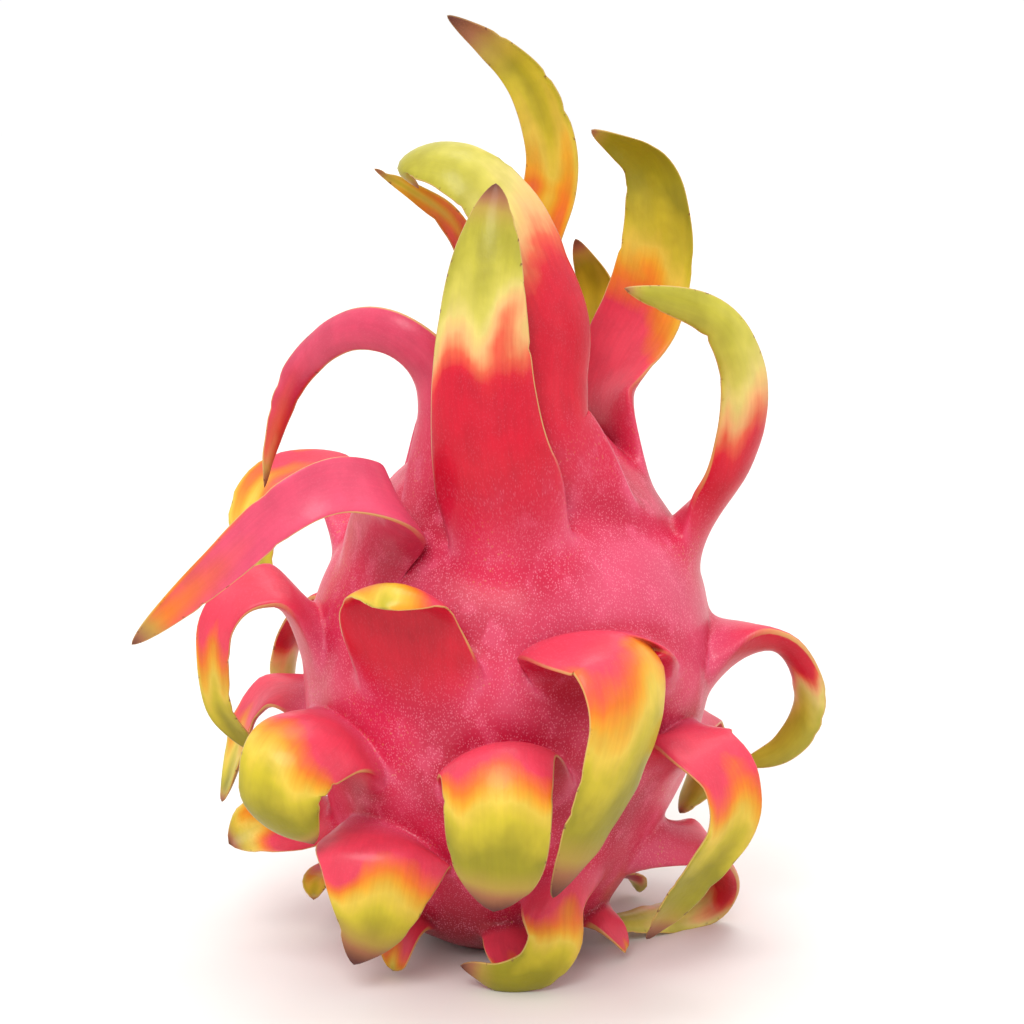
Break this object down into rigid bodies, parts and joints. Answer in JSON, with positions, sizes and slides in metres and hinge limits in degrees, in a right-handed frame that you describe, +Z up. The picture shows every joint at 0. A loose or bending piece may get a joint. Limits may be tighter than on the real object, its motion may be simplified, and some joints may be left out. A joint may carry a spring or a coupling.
{
  "type": "dragon fruit",
  "caption": "Whole upright pitaya with an egg-shaped body and long curling fleshy scales, for food displays and still lifes.",
  "frame": {"origin": "middle of the small flat spot that the fruit stands on, under the body", "axes": "+Z up from the stem end to the flower end, -Y towards the front of the fruit, +X to its right"},
  "size_m": [0.1513, 0.1406, 0.209],
  "materials": {
    "pitaya_skin": "satin, waxy"
  },
  "bodies": {
    "root": {"dragon_fruit": "pitaya_skin"}
  },
  "joints": []
}
